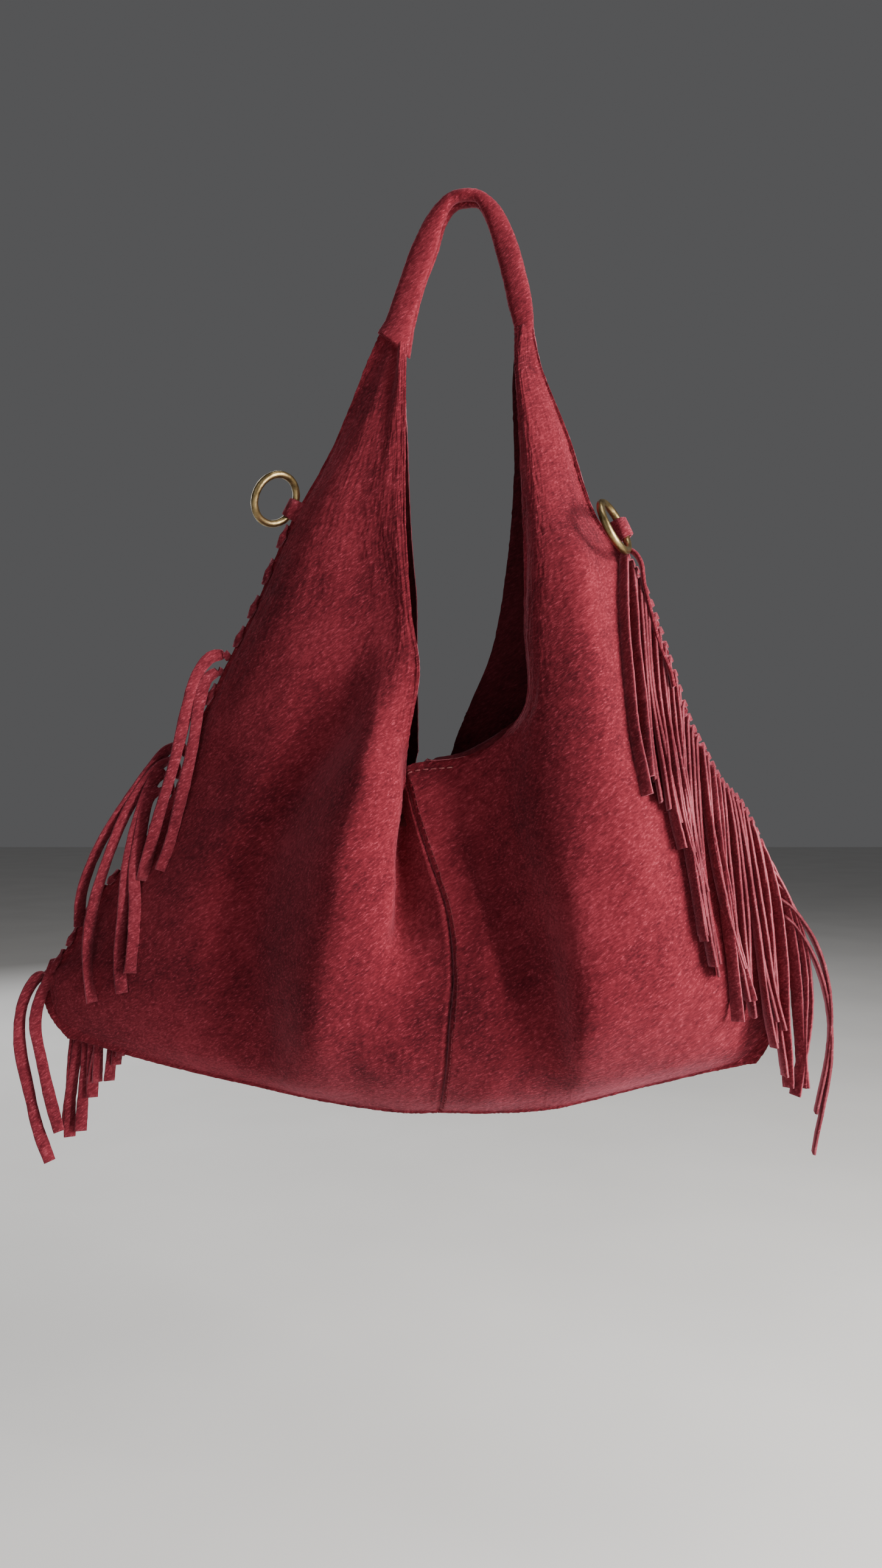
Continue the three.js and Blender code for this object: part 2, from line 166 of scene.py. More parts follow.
# The edge of the back panel's mouth on the right, from the centre seam up to the horn: a, z.
BACK_MOUTH = [(-22, -262), (-12, -256), (-8, -246), (-3, -234), (8, -209), (13, -190), (18, -157),
              (21, -122), (21, -83), (23, -65)]
BACK_MOUTH_LEFT = -27  # the same edge on the left, as far to the right as it comes
BACK_OFFSET = 0.1  # how far behind the middle the back panels start at the side seams
# How deep the back panels hang at their inner edge, from the bottom seam up: z, b.
BACK_DEPTH = [(-421, 0), (-405, 17), (-385, 27), (-355, 35), (-310, 31), (-262, 20), (-215, 19), (-150, 15),
              (-100, 10), (-64, 3)]

# Handle: a, z, width seen from the front, width front to back, along its centre line.
HANDLE = [(-34.4, -63, 15.4, 10.6), (-30.9, -52, 13.4, 8.8), (-25.5, -35, 12.2, 6.8), (-19, -18.5, 12, 7.4),
          (-13.5, -6.5, 8.4, 10), (-6.5, 1.2, 5.4, 12), (0, 2.4, 4.8, 13), (6.5, 1.2, 5.4, 12),
          (12.5, -5.5, 8.4, 10), (18, -18.5, 10.4, 7.4), (22.6, -35, 11, 6.8), (25.6, -49, 10.8, 7.2),
          (27.2, -59, 8.8, 6), (28, -68, 7, 4)]
HANDLE_SAMPLES = 10  # rings between two stations of the handle
LEFT_JOIN_SLANT = 0.45  # the strap's left end is cut on a slant, lower on its inner side
SLANTED_RINGS = 9
# The folded strap's section, as shares of its width and depth; the fold opens at its inner side.
STRAP_SECTION = [(-0.50, 0.00), (-0.49, -0.22), (-0.43, -0.40), (-0.25, -0.50), (0.0, -0.52), (0.25, -0.50),
                 (0.42, -0.42), (0.50, -0.26), (0.48, -0.12), (0.32, -0.05), (0.14, 0.0), (0.32, 0.05),
                 (0.48, 0.12), (0.50, 0.26), (0.42, 0.42), (0.25, 0.50), (0.0, 0.52), (-0.25, 0.50),
                 (-0.43, 0.40), (-0.49, 0.22)]

# Tabs that hold the rings.
TAB_BORE = 2.9  # radius of the loop round the wire, to the middle of the leather
TAB_THICKNESS = 1.5
TAB_WIDTH = 10.0

# Fringe. outward is -1 on the left side and 1 on the right.
THONGS_PER_SIDE = 17
THONG_WIDTH = 5.6
THONG_THICKNESS = 1.3
FRINGE_SPAN = {-1: (-86, -211), 1: (73, 143.5)}  # where the lacing starts and ends: a
LEFT_FRONT = (5, 8, 9, 17)  # thongs of the left side whose tails hang in front
TAIL_POINTS = 26
TAIL_LENGTHS = (92, 107)
TAIL_CLEARANCE = 1.2 + THONG_WIDTH / 2  # from the leather to a hanging tail's middle
LAID_CLEARANCE = 2.2  # the same for the left tails that lie on the front
TAIL_DRIFTS = {-1: (2, 9), 1: (9, 17)}  # how far outward a tail hangs from its hole
LAST_TAIL_BOW = 16  # how far the last right tails bow outward
# Tails of the left side that hang in front, by thong: points down from the seam, a, b, z.
LEFT_TAILS = {
    5: [[(-117, -3, -206), (-123, -7, -208), (-129.5, -9, -217), (-133.5, -10, -232), (-140, -11, -259),
         (-148.5, -11, -286), (-157, -10, -315)],
        [(-120, -4, -214), (-125, -6, -218), (-128.5, -7, -229), (-131, -8, -247), (-136, -8, -269),
         (-141.5, -9, -292), (-146, -9, -310)]],
    8: [[(-140, -3, -249), (-146, -5, -252), (-154, -7, -261), (-162, -9, -273), (-178, -11, -297),
         (-188, -11, -321), (-190, -10, -338)],
        [(-143, -4, -256), (-150, -6, -260), (-163, -9, -278), (-173, -12, -302), (-182, -13, -332),
         (-184, -13, -352), (-181, -13, -374)]],
    9: [[(-147, -3, -262), (-152, -6, -266), (-159, -9, -284), (-162.5, -12, -304), (-164, -15, -327),
         (-164.5, -16, -348), (-163, -17, -368)],
        [(-150, -4, -270), (-155, -7, -276), (-158, -9, -292), (-160, -12, -310), (-158, -14, -328),
         (-157, -16, -345), (-158, -17, -358)]],
    17: [[(-208, -3, -360), (-216, -5, -365), (-223, -6, -378), (-224, -7, -397), (-219, -7, -420),
          (-214, -7, -439), (-208, -6, -455)],
         [(-210, -3, -366), (-213, -5, -372), (-216, -6, -387), (-212, -7, -405), (-207, -7, -425),
          (-203, -6, -440)]],
}
# The loose end of the right seam's lacing, from under the ring's tab down beside the fringe.
LACE_END = [(73, -3, -163), (77.5, -6, -166), (80.4, -7.5, -171), (81.6, -7.5, -180), (85.4, -7.5, -196),
            (88.8, -8, -209), (92.6, -9, -218), (94.6, -10, -226)]
LACE_END_WIDTH = 3.0

# Closure patches.
PATCH_WIDTH = 24.0
PATCH_HEIGHT = 22.0
PATCH_CORNER = 3.0
PATCH_THICKNESS = 1.3

# Stitches: the pitch and the length of one, and how far the rows lie from their edge.
SEAM_STITCH = (3.4, 2.3)
SEAM_STITCH_INSET = 2.6
LIP_STITCH = (3.7, 2.2)
LIP_STITCH_DROP = 3.6
LIP_STITCH_ROWS = 17  # mesh rows that the lip's row of stitches spans
THREAD_WIDTH = 0.55
THREAD_THICKNESS = 0.45


# ---------------------------------------------------------------- numbers

def catmull_rom(points, samples):
    """A smooth curve through the points, with the same number of samples in every stretch."""
    p = np.asarray(points, float)
    p = np.vstack([2 * p[0] - p[1], p, 2 * p[-1] - p[-2]])
    knots = np.concatenate([[0], np.cumsum(np.sqrt(np.linalg.norm(np.diff(p, axis=0), axis=1) + 1e-9))])
    out = []
    for i in range(1, len(p) - 2):
        t0, t1, t2, t3 = knots[i - 1:i + 3]
        last = i == len(p) - 3
        for t in np.linspace(t1, t2, samples + 1)[: samples + 1 if last else samples]:
            a1 = (t1 - t) / (t1 - t0) * p[i - 1] + (t - t0) / (t1 - t0) * p[i]
            a2 = (t2 - t) / (t2 - t1) * p[i] + (t - t1) / (t2 - t1) * p[i + 1]
            a3 = (t3 - t) / (t3 - t2) * p[i + 1] + (t - t2) / (t3 - t2) * p[i + 2]
            b1 = (t2 - t) / (t2 - t0) * a1 + (t - t0) / (t2 - t0) * a2
            b2 = (t3 - t) / (t3 - t1) * a2 + (t - t1) / (t3 - t1) * a3
            out.append((t2 - t) / (t2 - t1) * b1 + (t - t1) / (t2 - t1) * b2)
    return np.array(out)


def smoothstep(x, low, high):
    """Smooth rise from 0 to 1 between low and high."""
    t = np.clip((x - low) / (high - low), 0, 1)
    return t * t * (3 - 2 * t)


def loft_net(net):
    """Rows of a smooth surface through a net of control points."""
    rows = np.array([catmull_rom(row, SAMPLES_ACROSS) for row in net])
    columns = [catmull_rom(rows[:, j], SAMPLES_ALONG) for j in range(rows.shape[1])]
    return np.stack(columns, axis=1)


def row_normals(grid):
    """Unit normals of a grid of points."""
    du = np.gradient(grid, axis=1)
    dv = np.gradient(grid, axis=0)
    n = np.cross(du, dv)
    return n / (np.linalg.norm(n, axis=2, keepdims=True) + 1e-12)


# ---------------------------------------------------------------- meshes

def make_object(name, points, faces, material):
    """A mesh object from points in the bag's own axes."""
    mesh = bpy.data.meshes.new(name)
    mesh.from_pydata((np.asarray(points) * MM).tolist(), [], faces)
    mesh.transform(TURN)
    bm = bmesh.new()
    bm.from_mesh(mesh)
    bmesh.ops.recalc_face_normals(bm, faces=bm.faces)
    bm.to_mesh(mesh)
    bm.free()
    mesh.polygons.foreach_set("use_smooth", [True] * len(mesh.polygons))
    mesh.materials.append(material)
    obj = bpy.data.objects.new(name, mesh)
    bpy.context.scene.collection.objects.link(obj)
    return obj


def shell_from_grid(grid, inward, thickness):
    """Closed shell: the grid as the face, the same grid moved inward, and rims between them."""
    inner = grid + inward * row_normals(grid) * thickness
    rows, columns = grid.shape[:2]
    points = np.concatenate([grid.reshape(-1, 3), inner.reshape(-1, 3)])
    offset = rows * columns
    index = np.arange(offset).reshape(rows, columns)
    corners = (index[:-1, :-1], index[:-1, 1:], index[1:, 1:], index[1:, :-1])
    outer_faces = np.stack([corner.ravel() for corner in corners], axis=1)
    inner_faces = outer_faces[:, ::-1] + offset
    border = np.concatenate([index[0, :], index[1:, -1], index[-1, -2::-1], index[-2:0:-1, 0]])
    following = np.roll(border, -1)
    rim = np.stack([following, border, border + offset, following + offset], axis=1)
    return points, np.concatenate([outer_faces, inner_faces, rim]).tolist()


def loft_rings(rings):
    """Closed tube through equal rings of points, with a cap at each end."""
    count = len(rings[0])
    points = [p for ring in rings for p in ring]
    faces = []
    for i in range(len(rings) - 1):
        for j in range(count):
            k = (j + 1) % count
            faces.append((i * count + j, i * count + k, (i + 1) * count + k, (i + 1) * count + j))
    last = (len(rings) - 1) * count
    faces.append(tuple(range(count - 1, -1, -1)))
    faces.append(tuple(range(last, last + count)))
    return points, faces


RIBBON_SECTION = [(-0.5, -0.22), (-0.46, -0.5), (0, -0.5), (0.46, -0.5), (0.5, -0.22),
                  (0.5, 0.22), (0.46, 0.5), (0, 0.5), (-0.46, 0.5), (-0.5, 0.22)]
RIBBON_EDGES = (4, 9)  # faces round a ribbon's section that are its cut edges


def ribbon(path, ways, width, thickness):
    """Closed strap of rounded-edge section along a path; ways gives its wide direction per point."""
    path = np.asarray(path)
    tangents = np.gradient(path, axis=0)
    tangents /= np.linalg.norm(tangents, axis=1, keepdims=True)
    rings = []
    for i, point in enumerate(path):
        wide = ways[i] - tangents[i] * np.dot(ways[i], tangents[i])
        wide = wide / np.linalg.norm(wide)
        thick = np.cross(tangents[i], wide)
        w = width[i] if hasattr(width, "__len__") else width
        rings.append([point + wide * w * x + thick * thickness * y for x, y in RIBBON_SECTION])
    return loft_rings(rings)


# ---------------------------------------------------------------- materials

class Nodes:
    """Short names for the shader nodes used here."""

    def __init__(self, name):
        self.material = bpy.data.materials.new(name)
        self.material.use_nodes = True
        self.tree = self.material.node_tree
        self.shader = self.tree.nodes["Principled BSDF"]
        self.place = self.add("ShaderNodeTexCoord").outputs["Object"]

    def add(self, kind, **settings):
        node = self.tree.nodes.new(kind)
        for key, value in settings.items():
            setattr(node, key, value)
        return node

    def link(self, source, target):
        self.tree.links.new(source, target)

    def brushed(self, slope, stretch):
        """Coordinates drawn out along a slope across the front."""
        node = self.add("ShaderNodeMapping", vector_type="TEXTURE")
        node.inputs["Rotation"].default_value = (0, -slope, 0)
        node.inputs["Scale"].default_value = stretch
        self.link(self.place, node.inputs["Vector"])
        return node.outputs["Vector"]

    def noise(self, scale, detail=3.0, rough=0.55, vector=None):
        node = self.add("ShaderNodeTexNoise")
        node.inputs["Scale"].default_value = scale
        node.inputs["Detail"].default_value = detail
        node.inputs["Roughness"].default_value = rough
        self.link(vector or self.place, node.inputs["Vector"])
        return node.outputs["Fac"]

    def ramp(self, value, stops):
        node = self.add("ShaderNodeValToRGB")
        while len(node.color_ramp.elements) < len(stops):
            node.color_ramp.elements.new(0.5)
        for element, (place, colour) in zip(node.color_ramp.elements, stops):
            element.position = place
            element.color = (*colour, 1)
        self.link(value, node.inputs["Fac"])
        return node.outputs["Color"]

    def mix(self, share, first, second):
        """Mixes two colours; a share or colour is a socket or a plain value."""
        node = self.add("ShaderNodeMix", data_type="RGBA")
        for value, socket in ((share, node.inputs[0]), (first, node.inputs[6]), (second, node.inputs[7])):
            if hasattr(value, "is_linked"):
                self.link(value, socket)
            else:
                socket.default_value = value if isinstance(value, float) else (*value, 1)
        return node.outputs[2]

    def math(self, operation, first, second):
        node = self.add("ShaderNodeMath", operation=operation)
        for value, socket in ((first, node.inputs[0]), (second, node.inputs[1])):
            if hasattr(value, "is_linked"):
                self.link(value, socket)
            else:
                socket.default_value = value
        return node.outputs[0]

    def bump(self, height, strength, distance):
        node = self.add("ShaderNodeBump")
        node.inputs["Strength"].default_value = strength
        node.inputs["Distance"].default_value = distance
        self.link(height, node.inputs["Height"])
        self.link(node.outputs["Normal"], self.shader.inputs["Normal"])


NAP_SLOPE = math.radians(34)
# Noise features per metre of suede, from broad shade to single fibres.
CLOUDS, PATCHES, STREAKS, FIBRES = 26, 210, 1250, 2600


def suede(name, dark, middle, light, fibre, sheen, streaks=True):
    """Napped suede: brushed streaks, cloudy shade, pale fibre tips and a soft sheen."""
    n = Nodes(name)
    brushed = n.brushed(NAP_SLOPE, (3.4, 1.6, 1.0))
    cloud = n.noise(CLOUDS, 3, 0.5)
    patch = n.noise(PATCHES, 3, 0.55, n.brushed(NAP_SLOPE, (2.0, 1.2, 1.0)))
    streak = n.noise(STREAKS, 3, 0.6, brushed)
    grain = n.noise(FIBRES, 2, 0.6, brushed)
    shade = n.math("ADD", n.math("MULTIPLY", cloud, 0.34), n.math("MULTIPLY", patch, 0.20))
    mixed = n.math("ADD", shade, n.math("MULTIPLY", streak, 0.46))
    base = n.ramp(mixed if streaks else cloud, [(0.38, dark), (0.51, middle), (0.64, light)])
    tips = n.ramp(n.math("MULTIPLY", grain, streak), [(0.31, (0, 0, 0)), (0.42, (1, 1, 1))])
    n.link(n.mix(n.math("MULTIPLY", tips, 0.45), base, fibre), n.shader.inputs["Base Color"])
    n.shader.inputs["Roughness"].default_value = 0.95
    n.shader.inputs["Specular IOR Level"].default_value = 0.12
    n.shader.inputs["Sheen Weight"].default_value = sheen
    n.shader.inputs["Sheen Roughness"].default_value = 0.45
    n.shader.inputs["Sheen Tint"].default_value = (1.0, 0.32, 0.42, 1)
    height = n.math("ADD", n.math("MULTIPLY", streak, 0.6), n.math("MULTIPLY", patch, 0.7))
    n.bump(height, 0.5, 0.0009)
    return n.material


def antique_brass(name):
    """Brass with brown wear in its hollows, rubbed bright in places."""
    n = Nodes(name)
    wear = n.noise(95, 4, 0.6)
    spots = n.noise(900, 2, 0.5)
    brown, dull, bright = (0.10, 0.070, 0.030), (0.32, 0.235, 0.11), (0.56, 0.45, 0.24)
    colour = n.ramp(wear, [(0.36, brown), (0.55, dull), (0.72, bright)])
    n.link(colour, n.shader.inputs["Base Color"])
    n.link(n.ramp(wear, [(0.3, (0.46,) * 3), (0.7, (0.27,) * 3)]), n.shader.inputs["Roughness"])
    n.shader.inputs["Metallic"].default_value = 1
    n.bump(spots, 0.25, 0.0002)
    return n.material


def pale_floor(name, colour, roughness):
    """A pale matt surface with the faintest mottling."""
    n = Nodes(name)
    shade = n.noise(6, 2, 0.5)
    darker = tuple(0.94 * c for c in colour)
    n.link(n.ramp(shade, [(0.3, darker), (0.7, colour)]), n.shader.inputs["Base Color"])
    n.shader.inputs["Roughness"].default_value = roughness
    return n.material


NAP = suede("suede_nap", dark=(0.060, 0.0045, 0.0085), middle=(0.125, 0.0105, 0.0175),
            light=(0.195, 0.021, 0.032), fibre=(0.40, 0.065, 0.095), sheen=0.22)
# The inside faces: a darker copy of the nap, painted shade of the bag's interior.
SHADED_INSIDE = suede("suede_inside_painted_shade", dark=(0.028, 0.0030, 0.0050), middle=(0.052, 0.0055, 0.0085),
              light=(0.080, 0.010, 0.014), fibre=(0.12, 0.02, 0.03), sheen=0.1)
# Cut edges: their own paler cut tone, brightened further as a painted highlight of the light from the right.
CUT_EDGE_AND_HIGHLIGHT = suede("suede_cut_edge_painted_highlight", dark=(0.22, 0.045, 0.060), middle=(0.34, 0.095, 0.115),
            light=(0.45, 0.15, 0.175), fibre=(0.60, 0.28, 0.31), sheen=0.3, streaks=False)
THONG = suede("suede_thong", dark=(0.070, 0.0065, 0.0115), middle=(0.145, 0.0155, 0.0245),
              light=(0.23, 0.034, 0.048), fibre=(0.44, 0.095, 0.13), sheen=0.4)
# Thong edges: paler than the thong, partly their own cut tone and partly a painted highlight of the light
# from the right.
THONG_EDGE_AND_HIGHLIGHT = suede("suede_thong_edge_painted_highlight", dark=(0.12, 0.021, 0.030), middle=(0.20, 0.044, 0.058),
                   light=(0.30, 0.085, 0.105), fibre=(0.45, 0.16, 0.19), sheen=0.3, streaks=False)
LIP_THREAD = suede("lip_thread", dark=(0.22, 0.055, 0.06), middle=(0.32, 0.10, 0.10),
                   light=(0.42, 0.17, 0.16), fibre=(0.55, 0.27, 0.25), sheen=0.15, streaks=False)
SEAM_THREAD = suede("seam_thread", dark=(0.05, 0.005, 0.008), middle=(0.09, 0.010, 0.015),
                    light=(0.13, 0.02, 0.026), fibre=(0.2, 0.04, 0.05), sheen=0.15, streaks=False)
BRASS = antique_brass("antique_brass")


# ---------------------------------------------------------------- camera, light and floor

def add_camera():
    data = bpy.data.cameras.new("camera")
    data.lens = CAMERA_LENS_MM
    data.sensor_width = 36
    data.clip_start = 0.01
    camera = bpy.data.objects.new("camera", data)
    camera.location = CAMERA_PLACE
    camera.rotation_euler = (math.radians(90), 0, 0)
    bpy.context.scene.collection.objects.link(camera)
    bpy.context.scene.camera = camera


def add_light(name, place, size, power, colour, aim=(0, 0, -0.27)):
    data = bpy.data.lights.new(name, "AREA")
    data.shape = "RECTANGLE"
    data.size, data.size_y = size
    data.energy = power
    data.color = colour
    light = bpy.data.objects.new(name, data)
    light.location = place
    light.rotation_euler = (Vector(aim) - Vector(place)).to_track_quat("-Z", "Y").to_euler()
    bpy.context.scene.collection.objects.link(light)


def add_surroundings():
    low = cad_box[0][2] - FLOOR_DROP
    bpy.ops.mesh.primitive_plane_add(size=FLOOR_SIZE, location=(0, 0, low))
    floor = bpy.context.object
    floor.name = "floor"
    floor.data.materials.append(pale_floor("floor", (0.74, 0.73, 0.71), 0.8))
    world = bpy.data.worlds.new("studio")
    world.use_nodes = True
    world.node_tree.nodes["Background"].inputs["Color"].default_value = (0.40, 0.40, 0.41, 1)
    world.node_tree.nodes["Background"].inputs["Strength"].default_value = 0.24
    bpy.context.scene.world = world
    add_light("window", (1.02, -0.56, -0.02), (0.45, 0.8), 47, (1.0, 0.97, 0.94))
    add_light("fill", (-0.7, -1.3, 0.1), (1.2, 1.2), 4.5, (0.95, 0.97, 1.0))
    add_light("top", (0.3, -0.3, 1.0), (0.7, 0.7), 5, (1.0, 0.98, 0.96))
    add_light("back", (-0.8, 1.2, 0.4), (1.2, 1.2), 14, (0.97, 0.98, 1.0))


add_camera()
add_surroundings()


# ---------------------------------------------------------------- panels

def undulate(grid, side):
    """Soft irregular hollows and rises, fading towards the seams and the horns."""
    rows, columns = grid.shape[:2]
    v = np.linspace(0, 1, rows)[:, None]
    u = np.linspace(0, 1, columns)[None, :]
    fade = smoothstep(u, 0.02, 0.15) * smoothstep(1 - u, 0.0, 0.12) * smoothstep(v, 0.0, 0.08) * (1 - 0.7 * v)
    phase = 1.3 * side
    wave = (np.sin(9 * v + 5 * u + phase) * np.sin(13 * u - 4 * v + 2 * phase)
            + 0.5 * np.sin(23 * v - 7 * u + phase) * np.sin(19 * u + 8 * v)
            + 0.3 * np.sin(41 * v + 17 * u) * np.sin(37 * u - 11 * v + phase))
    grid[:, :, 1] += UNDULATION * fade * wave


def seam_groove(grid, front_sign):
    """The centre seam below the lip: the panel's edge rolls in towards the stitches."""
    distance = np.linalg.norm(grid - grid[:, -1:], axis=2)
    roll = np.exp(-((distance / 1.0) ** 2)) * 1.4 - np.exp(-(((distance - 2.4) / 1.4) ** 2)) * 0.3
    share = np.ones((grid.shape[0], 1))
    share[lip_row(grid):] = 0
    grid[:, :, 1] += front_sign * roll * share


def lip_row(grid):
    """The first mesh row whose inner end is at or above the mouth's lowest point."""
    return int(np.argmax(grid[:, -1, 2] > LIP_LOW_Z))


def nap_relief(obj, height, size):
    """Real relief for the nap, so outlines look brushed and not cut: height and size in millimetres."""
    mesh = obj.data
    count = len(mesh.vertices)
    places = np.empty(count * 3)
    normals = np.empty(count * 3)
    mesh.vertices.foreach_get("co", places)
    mesh.vertices.foreach_get("normal", normals)
    places = places.reshape(-1, 3)
    rise = np.array([noise.noise(Vector(p) / (size * MM)) + 0.6 * noise.noise(Vector(p) / (0.4 * size * MM))
                     for p in places])
    places += normals.reshape(-1, 3) * (rise * height * MM)[:, None]
    mesh.vertices.foreach_set("co", places.ravel())
    mesh.update()


def panel_object(name, grid, inward):
    """A panel of real thickness: napped face, smooth inside in a darker suede that is painted shade, and pale
    cut edges, partly a painted highlight.
    """
    points, faces = shell_from_grid(grid, inward, THICKNESS)
    obj = make_object(name, points, faces, NAP)
    # Inside faces in the darker suede: painted shade.
    obj.data.materials.append(SHADED_INSIDE)
    # Cut edges in the paler suede: partly their own tone, partly a painted highlight.
    obj.data.materials.append(CUT_EDGE_AND_HIGHLIGHT)
    face = (grid.shape[0] - 1) * (grid.shape[1] - 1)
    kinds = np.full(len(obj.data.polygons), 2)
    kinds[: 2 * face] = 1
    kinds[:face] = 0
    obj.data.polygons.foreach_set("material_index", kinds.astype("int32"))
    return obj


def front_grid(net, side):
    """Mesh points of a front panel's face."""
    grid = loft_net(net)
    undulate(grid, side)
    seam_groove(grid, 1)
    return grid


def back_grid(front, side):
    """The back panel shares its seams with the front one and hangs in two soft folds."""
    u = np.linspace(0, 1, front.shape[1])[None, :]
    z_edge = front[:, -1, 2]
    edge = front[:, -1].copy()
    mouth = catmull_rom([(z, a) for a, z in BACK_MOUTH], 6)
    order = np.argsort(mouth[:, 0])
    above = z_edge > LIP_LOW_Z
    mouth_a = np.interp(z_edge, mouth[order, 0], mouth[order, 1])
    if side < 0:
        mouth_a = np.minimum(edge[:, 0] - 4, BACK_MOUTH_LEFT)
    edge[:, 0] = np.where(above, mouth_a, edge[:, 0])
    start = front[:, 0]
    grid = start[:, None] + (edge - start)[:, None] * u[..., None]
    depth = np.interp(z_edge, *zip(*BACK_DEPTH))[:, None]
    rise = smoothstep(u, 0.03, 0.8)
    fold = np.sin(math.pi * rise) * (0.22 + 0.16 * np.cos(2 * math.pi * (1.35 * u + 0.15 * side)))
    grid[:, :, 1] = BACK_OFFSET + depth * (rise + fold)
    undulate(grid, 3 + side)
    seam_groove(grid, -1)
    return grid


def seam_clearance(grid, front):
    """Front and back meet at the seams: each keeps its own side of the middle."""
    b = grid[:, :, 1]
    least = SEAM_GAP + THICKNESS
    grid[:, :, 1] = np.minimum(b, -least) if front else np.maximum(b, least)


left_front = front_grid(FRONT_LEFT, -1)
right_front = front_grid(FRONT_RIGHT, 1)
left_back = back_grid(left_front, -1)
right_back = back_grid(right_front, 1)
for grid, is_front in ((left_front, True), (right_front, True), (left_back, False), (right_back, False)):
    seam_clearance(grid, is_front)

PANELS = {
    "front_left_panel": panel_object("front_left", left_front, -1),
    "front_right_panel": panel_object("front_right", right_front, 1),
    "back_left_panel": panel_object("back_left", left_back, 1),
    "back_right_panel": panel_object("back_right", right_back, -1),
}


# ---------------------------------------------------------------- handle

def handle_object():
    """A folded strap: flat legs with the fold's dark groove inside, and a rolled crown."""
    stations = catmull_rom(HANDLE, HANDLE_SAMPLES)
    tangents = np.gradient(stations[:, :2], axis=0)
    tangents /= np.linalg.norm(tangents, axis=1, keepdims=True)
    rings = []
    for i, ((a, z, width, depth), (ta, tz)) in enumerate(zip(stations, tangents)):
        slant = LEFT_JOIN_SLANT * max(0.0, 1 - i / SLANTED_RINGS)
        across = np.array([tz, 0, -ta - slant])
        rings.append([np.array([a, 0, z]) + across * x * width + np.array([0, y * depth, 0])
                      for x, y in STRAP_SECTION])
    points, faces = loft_rings(rings)
    return make_object("handle_strap_suede", points, faces, NAP)


handle = handle_object()


# ---------------------------------------------------------------- rings and tabs

def packed_points(node):
    """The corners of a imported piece, in metres."""
    return np.array([tuple(v.co) for v in frame["nodes"][node].data.vertices])


def ring_frame(node):
    """Centre and axis of a packed ring, and how far its points reach from the centre."""
    points = packed_points(node)
    centre = points.mean(axis=0)
    _, axes = np.linalg.eigh(np.cov((points - centre).T))
    reach = np.linalg.norm(points - centre, axis=1)
    return Vector(centre), Vector(axes[:, 0]), reach


def ring_object(node):
    """A round wire ring, very slightly uneven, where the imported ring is."""
    centre, normal, reach = ring_frame(node)
    wire = (reach.max() - reach.min()) / 2
    radius = reach.max() - wire
    bpy.ops.mesh.primitive_torus_add(
        major_radius=radius, minor_radius=wire, major_segments=96, minor_segments=20)
    ring = bpy.context.object
    ring.name = node + "_wire"
    ring.data.transform(Matrix.Translation(centre) @ normal.to_track_quat("Z", "Y").to_matrix().to_4x4())
    for vertex in ring.data.vertices:
        angle = 23 * vertex.co.x / radius + 17 * vertex.co.z / radius
        vertex.co += (vertex.co - centre).normalized() * 0.00004 * math.sin(angle)
    for polygon in ring.data.polygons:
        polygon.use_smooth = True
    ring.data.materials.append(BRASS)
    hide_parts(node)
    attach(ring, node)


for node in ("left_ring", "right_ring"):
    ring_object(node)


def tab_object(side):
    """A strip of suede folded round the wire, its two ends laid together into the seam."""
    node = side + "_ring_tab"
    joints = frame["record"]["behaviour"]["joints"]
    joint = next(j for j in joints if j["name"] == side + "_ring_swing")
    pivot = Vector(joint["pos_m"]) / MM
    down = Vector(joint["axis"]).normalized()
    down = down if down.z < 0 else -down
    front = TURN.to_3x3() @ Vector((0, -1, 0))
    outward = down.cross(front) if side == "left" else front.cross(down)
    outward = outward.normalized()
    path = []
    for reach, lift in ((-9.5, 0.95), (-7.0, 1.0), (-5.0, 1.4)):
        path.append(pivot + outward * reach + front * lift)
    for step in range(13):
        angle = math.radians(150 - 25 * step)
        path.append(pivot + outward * math.cos(angle) * TAB_BORE + front * math.sin(angle) * TAB_BORE)
    for reach, lift in ((-5.0, -1.4), (-7.0, -1.0), (-9.5, -0.95)):
        path.append(pivot + outward * reach + front * lift)
    smooth = catmull_rom([tuple(p) for p in path], 4)
    wide = [np.array(down)] * len(smooth)
    count = len(smooth)
    taper = [TAB_WIDTH * (0.93 + 0.07 * math.cos(2 * math.pi * i / count)) for i in range(count)]
    points, faces = ribbon(smooth, wide, taper, TAB_THICKNESS)
    back = TURN.inverted()
    tab = make_object(node + "_loop", [back @ Vector(p) for p in points], faces, THONG)
    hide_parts(node)
    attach(tab, "bag")
    return tab


tabs = [tab_object(side) for side in ("left", "right")]


# ---------------------------------------------------------------- fringe

def surface_tree(node):
    """A panel as it lies, for finding what a tail or a stitch lies on."""
    mesh = PANELS[node].data
    back = TURN.inverted()
    points = [(back @ v.co) / MM for v in mesh.vertices]
    return BVHTree.FromPolygons(points, [tuple(p.vertices) for p in mesh.polygons])


TREES = {
    True: [surface_tree("front_left_panel"), surface_tree("front_right_panel")],
    False: [surface_tree("back_left_panel"), surface_tree("back_right_panel")],
}


def surface_depth(a, z, front):
    """How far the bag stands out from the middle at a place, 0 outside its outline."""
    sign = -1 if front else 1
    best = 0.0
    for tree in TREES[front]:
        hit = tree.ray_cast(Vector((a, sign * 200, z)), Vector((0, -sign, 0)))[0]
        if hit is not None:
            best = max(best, sign * hit.y)
    return best


SEAMS = {
    -1: catmull_rom([row[0] for row in FRONT_LEFT], 24)[::-1],
    1: catmull_rom([row[0] for row in FRONT_RIGHT], 24)[::-1],
}


def seam_at(outward, a):
    """Point of the side seam at a distance across, from the horn down to its widest place."""
    seam = SEAMS[outward]
    widest = int(np.argmax(outward * seam[:, 0]))
    seam = seam[: widest + 1]
    z = float(np.interp(outward * a, outward * seam[:, 0], seam[:, 2]))
    return np.array([a, 0.0, z])


def seam_direction(outward, a):
    """The way that the side seam runs down there."""
    p, q = seam_at(outward, a - 3 * outward), seam_at(outward, a + 3 * outward)
    d = q - p
    return d / np.linalg.norm(d)


